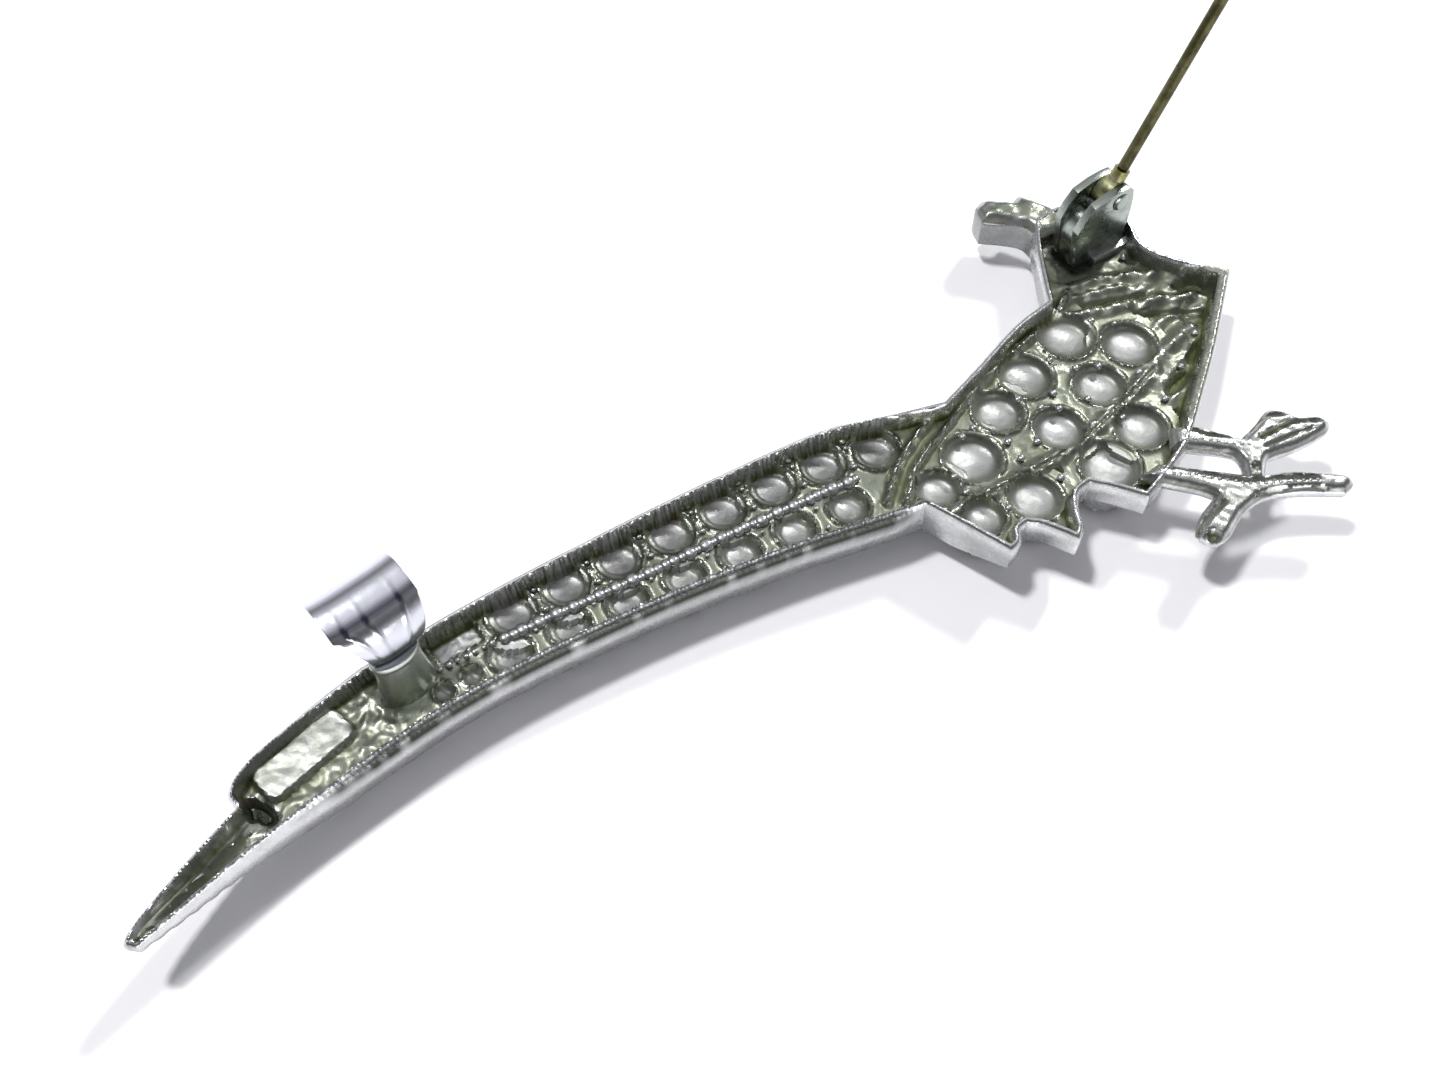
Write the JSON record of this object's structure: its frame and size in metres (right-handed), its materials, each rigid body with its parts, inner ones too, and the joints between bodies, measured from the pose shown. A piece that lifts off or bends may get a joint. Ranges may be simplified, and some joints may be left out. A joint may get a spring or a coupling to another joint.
{
  "type": "bird brooch",
  "caption": "Long-tailed bird brooch seen from its hollow back, with stone seats, a hinged pin stem on a riveted bracket and a curled catch that hooks the stem.",
  "frame": {"origin": "under the middle of the whole brooch's box, on the surface that its stones lie on", "axes": "+X from the tail tip to the breast, +Z out of the hollow back, the side that faces the garment"},
  "size_m": [0.0844, 0.0278, 0.0578],
  "materials": {
    "casting": "rhodium-tone plating over a die casting, tarnished olive in the hollows",
    "plating": "bright polished plating",
    "stem_wire": "steel wire with dull olive tarnish",
    "knuckle": "worn plating on brass",
    "stone": "clear cut glass with a foil back"
  },
  "bodies": {
    "brooch": {"accent_stone_1": "stone", "accent_stone_2": "stone", "baguette_stone": "stone", "body_casting": "casting", "body_stone_1": "stone", "body_stone_10": "stone", "body_stone_11": "stone", "body_stone_12": "stone", "body_stone_2": "stone", "body_stone_3": "stone", "body_stone_4": "stone", "body_stone_5": "stone", "body_stone_6": "stone", "body_stone_7": "stone", "body_stone_8": "stone", "body_stone_9": "stone", "catch_hook": "plating", "catch_post": "plating", "eye_stone": "stone", "hinge_bracket": "plating", "hinge_rivet": "plating", "tail_lower_stone_1": "stone", "tail_lower_stone_2": "stone", "tail_lower_stone_3": "stone", "tail_lower_stone_4": "stone", "tail_lower_stone_5": "stone", "tail_lower_stone_6": "stone", "tail_lower_stone_7": "stone", "tail_upper_stone_1": "stone", "tail_upper_stone_2": "stone", "tail_upper_stone_3": "stone", "tail_upper_stone_4": "stone", "tail_upper_stone_5": "stone", "tail_upper_stone_6": "stone", "tail_upper_stone_7": "stone", "tail_upper_stone_8": "stone"},
    "knuckle": {"pin_knuckle": "knuckle"},
    "stem": {"pin_stem": "stem_wire"}
  },
  "joints": [
    {"name": "pin_swing", "type": "hinge", "parent": "brooch", "child": "knuckle", "pos_m": [0.02284, 0.0085, 0.007], "axis": [-0.1373, 0.9905, 0], "range_deg": [-111, 0]},
    {"name": "stem_flex", "type": "hinge", "parent": "knuckle", "child": "stem", "pos_m": [0.02332, 0.00857, 0.00826], "axis": [0.9247, 0.1281, -0.3584], "range_deg": [0, 3.5], "stiffness_Nm_per_rad": 0.02}
  ]
}
